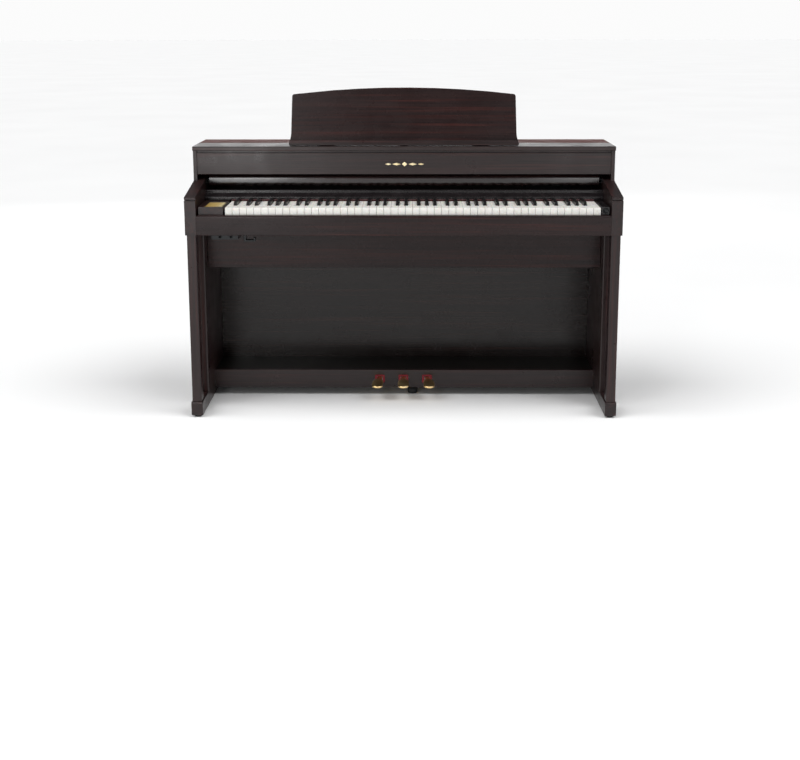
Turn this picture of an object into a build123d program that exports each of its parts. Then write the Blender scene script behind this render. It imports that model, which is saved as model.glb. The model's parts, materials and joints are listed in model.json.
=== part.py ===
from build123d import *
import math
import os

# Digital piano on its stand, in millimetres.
# X runs along the keyboard, -Y faces the player, +Z is up, and the origin is the centre of the
# whole piano's box, on the floor. A "depth" is a distance back from the front plane of the toes.

# ---- driving dimensions --------------------------------------------------------------------
DEPTH = 458.0                 # front of the toes to the rear edge of the top board
HALF_WIDTH = 709.0            # centre to the outer face of a side board
TOP_OVERHANG = 2.2            # the top board stands out past each side board
TOP_HEIGHT = 888.0            # floor to the upper face of the top board
TOP_THICK = 14.3
CABINET_FRONT = 187.0         # depth of the cabinet's front edge, above the arms
PANEL_FRONT = 190.0           # front panel above the fallboard
PANEL_BOTTOM = 794.0
PANEL_TOP = 866.0
PANEL_RECESS = 7.0            # the rail above the front panel, behind its face
BOARD = 16.0                  # usual thickness of a cabinet board
ARM_THICK = 36.5              # arm and lower side board
SKIN_THICK = 12.0             # upper side board, beside the front panel
KEYBED_BOTTOM = 617.0
KEYBED_THICK = 18.0
KEYBED_FRONT = 20.0
SLIP_TOP = 682.0              # upper edge of the rail in front of the keys
SLIP_ROUND = 7.0
ARM_GROOVE = (731.0, 734.5)   # groove across the front of each arm
ARM_GROOVE_DEEP = 9.0
ARM_REAR = (250.0, 785.0)     # depth and height where an arm's slope ends
ARM_SHOULDER = 773.0          # height where an arm's slope meets the cabinet
CHEEK_TOP = 707.5             # blocks beside the keys
CHEEK_OUTER = 668.5
NAME_FRONT = 176.0            # moulded rail over the rear of the keys
NAME_REAR = 215.0
NAME_BOTTOM = 708.5
NAME_LIP = 719.0              # upper edge of its front lip
NAME_STEP = 17.0              # thickness of its upright upper part
NAME_TOP = 740.0
SOCKET_DEEP = 22.0            # rear socket housing, in from the rear panel
INLET_DEEP = 8.0
TOE_TOP = 54.0
TOE_BOTTOM = 6.0
REVEAL = 0.3                  # working gap beside a piece that moves

WHITE_COUNT = 52
KEY_PITCH = 23.5
KEY_GAP = 1.0
KEYS_LEFT = -581.0            # left edge of the lowest white key
KEY_FRONT = 23.9
KEY_TOP = 704.5
KEY_THICK = 14.5
KEY_SKIRT = 23.0
KEY_PIVOT = 250.0             # depth of the keys' pivot
KEY_TAIL = 262.0
PIVOT_ROD = 3.0               # radius of the rod under the keys' pivots
PIVOT_CLEARANCE = 0.3
BLACK_FRONT = 74.0
BLACK_REAR = 172.0
BLACK_TOP = 717.0
BLACK_WIDTH = 11.0
BLACK_CREST = 9.0
MIDDLE_C = 23                 # white keys to the left of middle C

DISPLAY_X = (-648.0, -590.0)
DISPLAY_DEPTH = (28.0, 124.0)
DISPLAY_DEEP = 2.5            # its tray in the left cheek block
BUTTON_X = 656.5
BUTTON_Z = 695.5
BUTTON_R = 8.0
JACK_X = (-602.0, -566.0)
JACK_Z = 606.0
JACK_R = 3.3
JACK_LENGTH = 16.0
SOCKETS_X = (430.0, 600.0)
SOCKETS_Z = (690.0, 744.0)
INLET_X = (560.0, 588.0)
INLET_Z = (706.0, 726.0)

SLIDE_ANGLE = 10.5            # the fallboard's slide, down towards the player, in degrees
SLIDE_START = (236.0, 766.0)  # depth and height of the fallboard's underside, behind its nose
FALLBOARD_HALF = 662.0
FALLBOARD_LENGTH = 200.0
FALLBOARD_THICK = 10.0
NOSE_FRONT = 216.0
NOSE_THICK = 30.0
NOSE_TOP = 788.0
NOSE_BOTTOM = 752.0
NOSE_ROUND = (12.0, 12.0)     # radius of its upper and lower front edges
RAIL_WALL = 2.0
RAIL_SPAN = (-18.0, 204.0)    # along the slide
ROLLER_ALONG = 194.0          # rollers, back along the slide from its start
ROLLER_UP = 5.0
ROLLER_R = 4.0
REST_LEAN = 18.0              # music rest, back from upright, in degrees
REST_HINGE_DEPTH = 214.0
REST_HINGE_Z = 891.1
REST_THICK = 12.0
REST_FOOT = 387.0             # half widths and heights of the music rest's outline
REST_SHOULDER = 378.0
REST_WAIST = 46.0
REST_CORNER = 172.0
REST_CROWN = 195.5
REST_HINGE_X = (-260.0, 260.0)
KNUCKLE_R = 2.6
KNUCKLE_HALF = 15.0           # half the length of the knuckle on the music rest
EAR_LENGTH = 9.0              # each ear of a hinge plate, beside the knuckle
HINGE_PIN_R = 1.0
PROP_PIVOT = 80.0             # up the music rest from its hinge
PROP_LENGTH = 102.4
PROP_INSET = 4.0              # prop pivot, in from the rest's back face
PROP_OPEN = 122.9             # prop, from flat in its pocket to standing, in degrees

PEDAL_CENTRE = -2.0
PEDAL_SPACING = 83.0
PEDAL_PIVOT = 380.0
PEDAL_Z = 63.0
PEDAL_FLARE = 7.0             # an outer pedal's tip, out from its lever's line
PEDAL_TIP = 163.0             # depth of the pedals' front
PEDAL_BEND = 222.0            # depth where a pedal starts to droop
PEDAL_DROOP = 8.0             # its tip, below its lever
PEDAL_THICK = 10.0
PEDAL_HALF = 9.0              # half widths of the lever and of the tip
TIP_HALF = 20.0
SLOT_HALF = 18.0              # openings in the pedal rail
SLOT_Z = (46.0, 76.0)
ADJUSTER_X = 30.0
ADJUSTER_DEPTH = 286.0
KNOB_R = 17.0
KNOB_HEIGHT = 20.0
STEM_R = 6.0
SPEAKER_X = (-330.0, 330.0)
SPEAKER_DEPTH = 308.0
SPEAKER_HOLE_R = 66.0
LEG_X = (673.5, 705.0)
LEG_DEPTH = (5.0, 43.0)
TOE_X = (670.0, 708.3)
SIDE_DEPTH = (114.0, 444.0)   # stand's side panels

# ---- derived places ------------------------------------------------------------------------
TOP_UNDER = TOP_HEIGHT - TOP_THICK
ARM_INNER = HALF_WIDTH - ARM_THICK
PANEL_HALF = HALF_WIDTH - SKIN_THICK
KEYBED_TOP = KEYBED_BOTTOM + KEYBED_THICK
CABINET_REAR = DEPTH - BOARD
KEYS_RIGHT = KEYS_LEFT + WHITE_COUNT * KEY_PITCH
STAND_INNER = 667.0
STAND_OUTER = 692.0
BAFFLE_FRONT = 172.0
BAFFLE_BOTTOM = 477.0
BACK_FRONT = 430.0
PEDAL_RAIL_FRONT = 250.0
PEDAL_RAIL_TOP = 93.0
PEDAL_RAIL_BOTTOM = 30.0
SHELF_THICK = 14.0
SEAM_DEPTH = 318.0
KEY_UNDER = KEY_TOP - KEY_THICK
PEDAL_X = tuple(PEDAL_CENTRE + step * PEDAL_SPACING for step in (-1, 0, 1))


# ---- helpers -------------------------------------------------------------------------------
def slab(x, depth, z):
    """A block between pairs of limits: along X, back from the front plane, and up."""
    middle = Pos((x[0] + x[1]) / 2, (depth[0] + depth[1]) / 2 - DEPTH / 2, (z[0] + z[1]) / 2)
    return middle * Box(x[1] - x[0], depth[1] - depth[0], z[1] - z[0])


def mirrored(x, side):
    """A pair of X limits taken to the left (-1) or kept on the right (1)."""
    return x if side > 0 else (-x[1], -x[0])


def outline(points):
    """A flat face through (a, b, radius) corners; a radius of 0 leaves the corner sharp."""
    face = make_face(Polyline(*[(a, b) for a, b, _ in points], close=True))
    for a, b, radius in points:
        if radius:
            corner = min(face.vertices(), key=lambda v: (v.X - a) ** 2 + (v.Y - b) ** 2)
            face = fillet(corner, radius)
    return face


def along_x(points, x):
    """Extrudes an outline of (depth, z, radius) corners between two X limits."""
    moved = [(depth - DEPTH / 2, z, radius) for depth, z, radius in points]
    return Plane.YZ.offset(x[0]) * extrude(outline(moved), x[1] - x[0])


def upright(points, z):
    """Extrudes an outline of (x, depth, radius) corners between two heights."""
    moved = [(x, depth - DEPTH / 2, radius) for x, depth, radius in points]
    return Pos(0, 0, z[0]) * extrude(outline(moved), z[1] - z[0])


def rod_x(x, depth, z, radius):
    """A round rod along X between two X limits."""
    middle = Pos((x[0] + x[1]) / 2, depth - DEPTH / 2, z)
    return middle * Rot(0, 90, 0) * Cylinder(radius, x[1] - x[0])


def rod_y(x, depth, z, radius):
    """A round rod along Y between two depths."""
    middle = Pos(x, (depth[0] + depth[1]) / 2 - DEPTH / 2, z)
    return middle * Rot(90, 0, 0) * Cylinder(radius, depth[1] - depth[0])


def rod_z(x, depth, z, radius):
    """A round rod along Z between two heights."""
    return Pos(x, depth - DEPTH / 2, (z[0] + z[1]) / 2) * Cylinder(radius, z[1] - z[0])


# ---- cabinet -------------------------------------------------------------------------------
def side_board(side):
    """Side board with its arm: a thick lower part, and a thinner upper part at the outside."""
    low, high = ARM_GROOVE
    nose = [(0, KEYBED_BOTTOM, 0), (0, low, 4), (ARM_GROOVE_DEEP, low, 0),
            (ARM_GROOVE_DEEP, high, 0)]
    slope = [(2, high, 0), (2, high + 6.5, 4), (30, high + 11.5, 20)]
    inner = nose + slope + [(*ARM_REAR, 0), (CABINET_REAR, ARM_REAR[1], 0),
                            (CABINET_REAR, KEYBED_BOTTOM, 0)]
    outer = nose + slope + [(CABINET_FRONT, ARM_SHOULDER, 8), (CABINET_FRONT, TOP_UNDER, 0),
                            (DEPTH - 1, TOP_UNDER, 0), (DEPTH - 1, KEYBED_BOTTOM, 0)]
    arm = along_x(inner, mirrored((ARM_INNER, PANEL_HALF), side))
    return arm + along_x(outer, mirrored((PANEL_HALF, HALF_WIDTH), side))


def top_boards():
    """Front and rear top boards, with a fine seam between them."""
    half = HALF_WIDTH + TOP_OVERHANG
    seam = 0.6
    front_edge = CABINET_FRONT
    front = along_x([(front_edge, TOP_UNDER, 2), (front_edge, TOP_HEIGHT, 3),
                     (SEAM_DEPTH, TOP_HEIGHT, 0), (SEAM_DEPTH, TOP_UNDER, 0)], (-half, half))
    rear = along_x([(SEAM_DEPTH + seam, TOP_UNDER, 0), (SEAM_DEPTH + seam, TOP_HEIGHT, 0),
                    (DEPTH, TOP_HEIGHT, 3), (DEPTH, TOP_UNDER, 0)], (-half, half))
    return front, rear


def front_panel():
    return slab((-PANEL_HALF, PANEL_HALF), (PANEL_FRONT, PANEL_FRONT + BOARD),
                (PANEL_BOTTOM, PANEL_TOP))


def top_rail():
    """Recessed rail that leaves a shadow groove between the front panel and the top board."""
    front = PANEL_FRONT + PANEL_RECESS
    return slab((-PANEL_HALF, PANEL_HALF), (front, front + BOARD), (PANEL_TOP, TOP_UNDER))


def cabinet_back():
    """Rear panel of the cabinet, with a window for the socket panel."""
    panel = slab((-PANEL_HALF, PANEL_HALF), (CABINET_REAR, DEPTH - 1), (KEYBED_BOTTOM, TOP_UNDER))
    return panel - slab(SOCKETS_X, (CABINET_REAR - 1, DEPTH), SOCKETS_Z)


def keybed():
    return slab((-ARM_INNER, ARM_INNER), (KEYBED_FRONT, CABINET_REAR),
                (KEYBED_BOTTOM, KEYBED_TOP))


def key_slip():
    """Front rail below the keys, with a rounded upper edge."""
    return along_x([(0, KEYBED_BOTTOM, 2), (0, SLIP_TOP, SLIP_ROUND), (KEYBED_FRONT, SLIP_TOP, 2),
                    (KEYBED_FRONT, KEYBED_BOTTOM, 0)], (-ARM_INNER, ARM_INNER))


def key_frame():
    """Steel frame on the keybed, with a front guide rail and the rail and rod of the pivots."""
    span = (KEYS_LEFT - 4, KEYS_RIGHT + 1)
    plate = slab(span, (26, KEY_TAIL + 8), (KEYBED_TOP, KEYBED_TOP + 8))
    guide = slab(span, (40, 56), (KEYBED_TOP + 8, 664))
    pivot = slab(span, (KEY_PIVOT - 2, KEY_PIVOT + 2), (KEYBED_TOP + 8, KEY_UNDER - 2))
    return plate + guide + pivot + rod_x(span, KEY_PIVOT, KEY_UNDER, PIVOT_ROD)


def pivot_notch(x):
    """The half-round notch under a key that sits over the pivot rod."""
    return rod_x(x, KEY_PIVOT, KEY_UNDER, PIVOT_ROD + PIVOT_CLEARANCE)


def cheek_left():
    """Block left of the keys, with the tray for the touch display."""
    block = slab((-CHEEK_OUTER, KEYS_LEFT - 6.3), (KEY_FRONT, NAME_FRONT), (KEYBED_TOP, CHEEK_TOP))
    return block - slab(DISPLAY_X, DISPLAY_DEPTH, (CHEEK_TOP - DISPLAY_DEEP, CHEEK_TOP + 1))


def cheek_right():
    """Block right of the keys, bored for the power button."""
    block = slab((KEYS_RIGHT + 2.5, CHEEK_OUTER), (KEY_FRONT, NAME_FRONT), (KEYBED_TOP, CHEEK_TOP))
    return block - rod_y(BUTTON_X, (KEY_FRONT - 1, KEY_FRONT + 14), BUTTON_Z, BUTTON_R + REVEAL)


def name_board():
    """Moulded rail over the rear of the keys."""
    step = NAME_REAR - NAME_STEP
    return along_x([(NAME_FRONT, NAME_BOTTOM, 2), (NAME_FRONT, NAME_LIP, 4),
                    (step, NAME_TOP - 9.5, 2), (step, NAME_TOP, 3), (NAME_REAR, NAME_TOP, 2),
                    (NAME_REAR, NAME_BOTTOM, 0)], (-ARM_INNER, ARM_INNER))


def touch_display():
    return slab((DISPLAY_X[0] + 0.5, DISPLAY_X[1] - 0.5),
                (DISPLAY_DEPTH[0] + 0.5, DISPLAY_DEPTH[1] - 0.5),
                (CHEEK_TOP - DISPLAY_DEEP, CHEEK_TOP + 0.4))


def power_button():
    """Round button in the right cheek block; its collar stands out of the block."""
    return rod_y(BUTTON_X, (KEY_FRONT - 4, KEY_FRONT + 8), BUTTON_Z, BUTTON_R)


def jack_box():
    """Black box under the keybed with two headphone sockets facing the player."""
    box = slab((-630, -542), (40, 110), (JACK_Z - 9, KEYBED_BOTTOM))
    for x in JACK_X:
        box -= rod_y(x, (39, 40 + JACK_LENGTH), JACK_Z, JACK_R)
    return box


def headphone_hook():
    """Hook under the keybed: a hanger, a bar and an upturned end."""
    y = (52, 68)
    hanger = slab((-526, -518), y, (588, KEYBED_BOTTOM))
    bar = slab((-526, -487), y, (588, 594))
    return hanger + bar + slab((-493, -487), y, (588, 602))


def main_board():
    """Main circuit board on the keybed, with its largest parts."""
    board = slab((-260, 120), (300, 420), (KEYBED_TOP + 8, KEYBED_TOP + 10))
    for x in (-240, 100):
        for depth in (310, 400):
            board += rod_z(x, depth, (KEYBED_TOP, KEYBED_TOP + 8), 4)
    for x, width in ((-200, 60), (-90, 40), (20, 50)):
        board += slab((x, x + width), (330, 380), (KEYBED_TOP + 10, KEYBED_TOP + 24))
    return board


def socket_panel():
    """Rear socket housing with the mains inlet's pocket."""
    housing = slab(SOCKETS_X, (CABINET_REAR - SOCKET_DEEP, DEPTH - 1), SOCKETS_Z)
    return housing - slab(INLET_X, (CABINET_REAR - INLET_DEEP, DEPTH), INLET_Z)


# ---- fallboard -----------------------------------------------------------------------------
def incline(depth, z, along, up):
    """A point 'along' the slide (backwards) and 'up' square to it, from (depth, z)."""
    angle = math.radians(SLIDE_ANGLE)
    return (depth + along * math.cos(angle) - up * math.sin(angle),
            z + along * math.sin(angle) + up * math.cos(angle))


def fallboard():
    """Sliding key cover: a rounded nose, a flat board behind it, and two rear rollers."""
    span = (-FALLBOARD_HALF, FALLBOARD_HALF)
    corners = [incline(*SLIDE_START, along, up) for along, up in
               ((0, 0), (FALLBOARD_LENGTH, 0), (FALLBOARD_LENGTH, FALLBOARD_THICK),
                (0, FALLBOARD_THICK))]
    board = along_x([(depth, z, 0) for depth, z in corners], span)
    nose_rear = NOSE_FRONT + NOSE_THICK
    nose = along_x([(NOSE_FRONT, NOSE_TOP, NOSE_ROUND[0]), (NOSE_FRONT, NOSE_BOTTOM, NOSE_ROUND[1]),
                    (nose_rear, NOSE_BOTTOM, 6), (nose_rear, NOSE_TOP, 0)], span)
    cover = board + nose
    depth, z = incline(*SLIDE_START, ROLLER_ALONG, ROLLER_UP)
    return cover + rod_x((-FALLBOARD_HALF - 5, FALLBOARD_HALF + 5), depth, z, ROLLER_R)


def fallboard_rails():
    """A channel on each side board, open towards the middle, for the fallboard's rollers."""
    gap = ROLLER_R + 0.5
    wall = RAIL_WALL
    front, rear = RAIL_SPAN
    rails = []
    for side in (-1, 1):
        corners = [incline(*SLIDE_START, along, ROLLER_UP + up) for along, up in
                   ((front, -gap - wall), (rear, -gap - wall), (rear, gap + wall),
                    (front, gap + wall))]
        space = [incline(*SLIDE_START, along, ROLLER_UP + up) for along, up in
                 ((front - 2, -gap), (rear - wall, -gap), (rear - wall, gap), (front - 2, gap))]
        bar = along_x([(depth, z, 0) for depth, z in corners],
                      mirrored((FALLBOARD_HALF + 1.5, ARM_INNER), side))
        hollow = along_x([(depth, z, 0) for depth, z in space],
                         mirrored((FALLBOARD_HALF + 1, ARM_INNER - wall), side))
        rails.append(bar - hollow)
    return Compound(children=rails)


# ---- music rest ----------------------------------------------------------------------------
REST_PLANE = Plane(origin=(0, REST_HINGE_DEPTH - DEPTH / 2, REST_HINGE_Z), x_dir=(1, 0, 0),
                   z_dir=(0, -math.cos(math.radians(REST_LEAN)), math.sin(math.radians(REST_LEAN))))


def music_rest():
    """Arched board that leans back, with hinge knuckles at its foot and a pocket for its prop."""
    foot = REST_FOOT
    shoulder = REST_SHOULDER
    waist = shoulder + 1.5
    sides = [Line((-foot, 0), (foot, 0)), Line((foot, 0), (foot, 3)),
             ThreePointArc((foot, 3), (waist + 2, 22), (waist, REST_WAIST)),
             Line((waist, REST_WAIST), (shoulder, REST_CORNER)),
             ThreePointArc((shoulder, REST_CORNER), (0, REST_CROWN), (-shoulder, REST_CORNER)),
             Line((-shoulder, REST_CORNER), (-waist, REST_WAIST)),
             ThreePointArc((-waist, REST_WAIST), (-waist - 2, 22), (-foot, 3)),
             Line((-foot, 3), (-foot, 0))]
    face = make_face(sides)
    tops = [v for v in face.vertices() if abs(v.Y - REST_CORNER) < 1]
    board = extrude(fillet(tops, 9), REST_THICK)
    pocket_low = PROP_PIVOT - 6
    pocket_high = PROP_PIVOT + PROP_LENGTH + 4
    pocket = Pos(0, (pocket_low + pocket_high) / 2, 3.5) * Box(34, pocket_high - pocket_low, 7.2)
    holes = Pos(0, PROP_PIVOT, PROP_INSET) * Rot(0, 90, 0) * Cylinder(1.8, 44)
    board = board - pocket - holes
    for x in REST_HINGE_X:
        axis = Pos(x, 0, 0) * Rot(0, 90, 0)
        board -= axis * Cylinder(KNUCKLE_R + 0.6, 2 * (KNUCKLE_HALF + EAR_LENGTH + 1))
        arm = Pos(x, 2.5, KNUCKLE_R / 2) * Box(2 * KNUCKLE_HALF, 5, KNUCKLE_R)
        board += arm + axis * Cylinder(KNUCKLE_R, 2 * KNUCKLE_HALF)
        board -= axis * Cylinder(HINGE_PIN_R + 0.1, 2 * KNUCKLE_HALF + 1)
    return REST_PLANE * board


def rest_ledge():
    """Strip along the foot of the music rest that holds the pages."""
    strip = Pos(0, 2.5, REST_THICK + 5) * Box(770, 17, 10)
    return REST_PLANE * fillet(strip.edges().filter_by(Axis.X).group_by(Axis.Z)[-1], 2.5)


def rest_prop():
    """Flat prop with a cross pin, from the back of the rest down to the top board."""
    reach = PROP_LENGTH - 2.5
    bar = Pos(0, reach / 2, 0) * Box(28, reach, 5)
    bar = fillet(bar.edges().filter_by(Axis.Z), 2)
    foot = Pos(0, reach, 0) * Rot(0, 90, 0) * Cylinder(2.5, 28)
    pin = Rot(0, 90, 0) * Cylinder(1.5, 42)
    lever = bar + foot + pin
    return REST_PLANE * Pos(0, PROP_PIVOT, PROP_INSET) * Rot(-PROP_OPEN, 0, 0) * lever


def rest_hinges():
    """Two hinge plates on the top board, each with two ears and a pin through a knuckle."""
    plates = []
    outer = KNUCKLE_HALF + EAR_LENGTH
    inner = KNUCKLE_HALF + 0.4
    for x in REST_HINGE_X:
        plate = slab((x - 30, x + 30), (REST_HINGE_DEPTH + 3.4, 240), (TOP_HEIGHT, 889.5))
        for side in (-1, 1):
            ear = (x + side * inner, x + side * outer)
            span = (min(ear), max(ear))
            plate += slab(span, (REST_HINGE_DEPTH - 1, REST_HINGE_DEPTH + 4), (TOP_HEIGHT, 889.5))
            plate += rod_x(span, REST_HINGE_DEPTH, REST_HINGE_Z, KNUCKLE_R)
        plate += rod_x((x - outer, x + outer), REST_HINGE_DEPTH, REST_HINGE_Z, HINGE_PIN_R)
        plates.append(plate)
    return Compound(children=plates)


# ---- stand ---------------------------------------------------------------------------------
def leg(side):
    """Front post from the toe up to the keybed."""
    x = mirrored(LEG_X, side)
    front, rear = LEG_DEPTH
    return upright([(x[0], front, 4), (x[1], front, 4), (x[1], rear, 4), (x[0], rear, 4)],
                   (TOE_TOP, KEYBED_BOTTOM))


def toe(side):
    """Long foot that runs from front to back, with rounded ends and upper edges."""
    return along_x([(0, TOE_BOTTOM, 5), (0, TOE_TOP, 8), (DEPTH - 1, TOE_TOP, 8),
                    (DEPTH - 1, TOE_BOTTOM, 5)], mirrored(TOE_X, side))


def stand_side(side):
    """Upright side panel behind the leg."""
    x = mirrored((STAND_INNER, STAND_OUTER), side)
    front, rear = SIDE_DEPTH
    return upright([(x[0], front, 5), (x[1], front, 5), (x[1], rear, 0), (x[0], rear, 0)],
                   (TOE_TOP, KEYBED_BOTTOM))


def speaker_front():
    """Front board of the speaker box, under the keybed."""
    return slab((-STAND_INNER, STAND_INNER), (BAFFLE_FRONT, BAFFLE_FRONT + BOARD),
                (BAFFLE_BOTTOM, KEYBED_BOTTOM))


def speaker_floor():
    """Floor of the speaker box, with two round openings for speakers that face down."""
    floor = slab((-STAND_INNER, STAND_INNER), (BAFFLE_FRONT + BOARD, BACK_FRONT),
                 (BAFFLE_BOTTOM, BAFFLE_BOTTOM + 15))
    for x in SPEAKER_X:
        floor -= rod_z(x, SPEAKER_DEPTH, (BAFFLE_BOTTOM - 1, BAFFLE_BOTTOM + 16), SPEAKER_HOLE_R)
    return floor


def speakers():
    """Two round speakers: a flange, a basket that narrows upwards, and a magnet."""
    base = BAFFLE_BOTTOM + 15
    units = []
    for x in SPEAKER_X:
        flange = rod_z(x, SPEAKER_DEPTH, (base, base + 4), 80)
        basket = Pos(x, SPEAKER_DEPTH - DEPTH / 2, base + 26) * Cone(72, 34, 44)
        magnet = rod_z(x, SPEAKER_DEPTH, (base + 48, base + 66), 42)
        hollow = Pos(x, SPEAKER_DEPTH - DEPTH / 2, base + 7) * Cone(62, 44, 14)
        units.append(flange + basket + magnet - hollow)
    return Compound(children=units)


def back_board():
    """Tall board that closes the rear of the stand."""
    return slab((-STAND_INNER, STAND_INNER), (BACK_FRONT, BACK_FRONT + 12),
                (PEDAL_RAIL_BOTTOM, KEYBED_BOTTOM))


def pedal_rail():
    """Low front board with three openings for the pedals."""
    rail = slab((-STAND_INNER, STAND_INNER), (PEDAL_RAIL_FRONT, PEDAL_RAIL_FRONT + BOARD),
                (PEDAL_RAIL_BOTTOM, PEDAL_RAIL_TOP))
    low, high = SLOT_Z
    for x in PEDAL_X:
        left, right = x - SLOT_HALF, x + SLOT_HALF
        slot = [(left, low, 5), (right, low, 5), (right, high, 5), (left, high, 5)]
        cut = Plane.XZ.offset(-PEDAL_RAIL_FRONT + DEPTH / 2 + 1) * extrude(outline(slot), -BOARD - 2)
        rail -= cut
    return rail


def pedal_shelf():
    """Board behind the pedal rail that covers the pedal levers."""
    return slab((-STAND_INNER, STAND_INNER), (PEDAL_RAIL_FRONT + BOARD, BACK_FRONT),
                (PEDAL_RAIL_TOP - SHELF_THICK, PEDAL_RAIL_TOP))


def pedal_bracket():
    """Steel bracket under the shelf: end plates, the pedals' axle and the adjuster's nut."""
    under = PEDAL_RAIL_TOP - SHELF_THICK
    half = PEDAL_SPACING + 24
    plate = slab((PEDAL_CENTRE - half, PEDAL_CENTRE + half), (366, 396), (under - 3, under))
    for side in (-1, 1):
        end = PEDAL_CENTRE + side * half
        inner = end - side * 4
        plate += slab((min(end, inner), max(end, inner)), (366, 396), (52, under))
    plate += rod_x((PEDAL_CENTRE - half, PEDAL_CENTRE + half), PEDAL_PIVOT, PEDAL_Z, 3)
    return plate


def adjuster_nut():
    """Threaded block under the shelf for the height adjuster."""
    block = slab((ADJUSTER_X - 13, ADJUSTER_X + 13), (PEDAL_RAIL_FRONT + BOARD, 303), (58, 79))
    return block - rod_z(ADJUSTER_X, ADJUSTER_DEPTH, (57, 80), STEM_R + REVEAL)


def height_adjuster():
    """Round foot with a threaded stem that carries the middle of the pedal rail."""
    knob = rod_z(ADJUSTER_X, ADJUSTER_DEPTH, (0, KNOB_HEIGHT), KNOB_R)
    knob = fillet(knob.edges().filter_by(GeomType.CIRCLE), 2)
    return knob + rod_z(ADJUSTER_X, ADJUSTER_DEPTH, (KNOB_HEIGHT, 77), STEM_R)


def pedal(x, flare):
    """Brass pedal: a narrow lever that widens and droops to a rounded tip."""
    tip = x + flare
    rear = PEDAL_PIVOT + PEDAL_HALF
    left, right = x - PEDAL_HALF, x + PEDAL_HALF
    plan = [(left, rear, 3), (left, 240, 30), (tip - TIP_HALF, 205, 30),
            (tip - TIP_HALF, PEDAL_TIP, 13), (tip + TIP_HALF, PEDAL_TIP, 13),
            (tip + TIP_HALF, 205, 30), (right, 240, 30), (right, rear, 3)]
    top, bottom = PEDAL_Z + PEDAL_THICK / 2, PEDAL_Z - PEDAL_THICK / 2
    side = [(rear + 1, top, 0), (PEDAL_BEND, top, 40), (PEDAL_TIP - 1, top - PEDAL_DROOP, 0),
            (PEDAL_TIP - 1, bottom - PEDAL_DROOP, 0), (PEDAL_BEND, bottom, 40),
            (rear + 1, bottom, 0)]
    lever = upright(plan, (bottom - PEDAL_DROOP, top))
    lever &= along_x(side, (tip - TIP_HALF - 10, tip + TIP_HALF + 10))
    return lever - rod_x((x - 12, x + 12), PEDAL_PIVOT, PEDAL_Z, 3.3)


def floor_glides():
    """Four round glides under the ends of the toes."""
    glides = []
    for x in (-689, 689):
        for depth in (16, 441):
            glides.append(rod_z(x, depth, (0, TOE_BOTTOM), 10))
    return Compound(children=glides)


def stand_screws():
    """Heads of the screws that hold the back board, on its rear face."""
    heads = []
    for x in (-640, -320, 320, 640):
        for z in (130, 560):
            heads.append(rod_y(x, (BACK_FRONT + 12, BACK_FRONT + 15), z, 6))
    return Compound(children=heads)


# ---- keys ----------------------------------------------------------------------------------
# A black key stands over the joint to the right of these white keys, counted up from the
# lowest A in steps of an octave; the shift moves it off the joint.
BLACK_SHIFT = {0: 3.2, 2: -2.3, 3: 2.3, 5: -3.2, 6: 0.0}


def black_centre(index):
    """X of the black key to the right of a white key, or None where there is none."""
    step = index % 7
    if step not in BLACK_SHIFT or index == WHITE_COUNT - 1:
        return None
    return KEYS_LEFT + (index + 1) * KEY_PITCH + BLACK_SHIFT[step]


def white_key(index):
    """White key with a front skirt and a tail cut away beside its black neighbours."""
    left = KEYS_LEFT + index * KEY_PITCH + KEY_GAP / 2
    right = left + KEY_PITCH - KEY_GAP
    side_gap = BLACK_WIDTH / 2 + 0.8
    below = black_centre(index - 1) if index else None
    above = black_centre(index)
    tail_left = left if below is None else below + side_gap
    tail_right = right if above is None else above - side_gap
    head = slab((left, right), (KEY_FRONT, BLACK_FRONT - 1), (KEY_UNDER, KEY_TOP))
    skirt = slab((left, right), (KEY_FRONT, KEY_FRONT + 3), (KEY_TOP - KEY_SKIRT, KEY_TOP))
    tail = slab((tail_left, tail_right), (BLACK_FRONT - 1, KEY_TAIL), (KEY_UNDER, KEY_TOP))
    return head + skirt + tail - pivot_notch((left - 1, right + 1))


def black_key(index):
    """Black key: a tapered upper part on a lever that runs back to the pivot."""
    centre = black_centre(index)
    half_base = BLACK_WIDTH / 2
    lever = slab((centre - half_base, centre + half_base), (BLACK_FRONT, KEY_TAIL),
                 (KEY_UNDER, KEY_TOP))
    lever -= pivot_notch((centre - half_base - 1, centre + half_base + 1))
    half_crest = BLACK_CREST / 2
    section = [(centre - half_base, KEY_TOP, 0), (centre + half_base, KEY_TOP, 0),
               (centre + half_crest, BLACK_TOP, 1.5), (centre - half_crest, BLACK_TOP, 1.5)]
    start = Plane.XZ.offset(DEPTH / 2 - BLACK_FRONT)
    crest = start * extrude(outline(section), -(BLACK_REAR - BLACK_FRONT))
    wedge = along_x([(BLACK_FRONT - 1, KEY_TOP, 0), (BLACK_FRONT - 1, BLACK_TOP + 1, 0),
                     (BLACK_FRONT + 7, BLACK_TOP + 1, 0), (BLACK_FRONT, KEY_TOP, 0)],
                    (centre - 8, centre + 8))
    return lever + (crest - wedge)


def key_nodes():
    """The middle octave as single keys, and the keys to each side of it as four groups."""
    octave = range(MIDDLE_C, MIDDLE_C + 7)
    nodes = {}
    groups = (("bass", range(0, MIDDLE_C)), ("treble", range(MIDDLE_C + 7, WHITE_COUNT)))
    for name, indices in groups:
        whites = [white_key(i) for i in indices]
        blacks = [black_key(i) for i in indices if black_centre(i) is not None]
        nodes["white_keys_" + name] = Compound(children=whites)
        nodes["black_keys_" + name] = Compound(children=blacks)
    for letter, i in zip("cdefgab", octave):
        nodes["white_key_" + letter] = white_key(i)
        if black_centre(i) is not None:
            nodes["black_key_" + letter + "_sharp"] = black_key(i)
    return nodes


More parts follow.
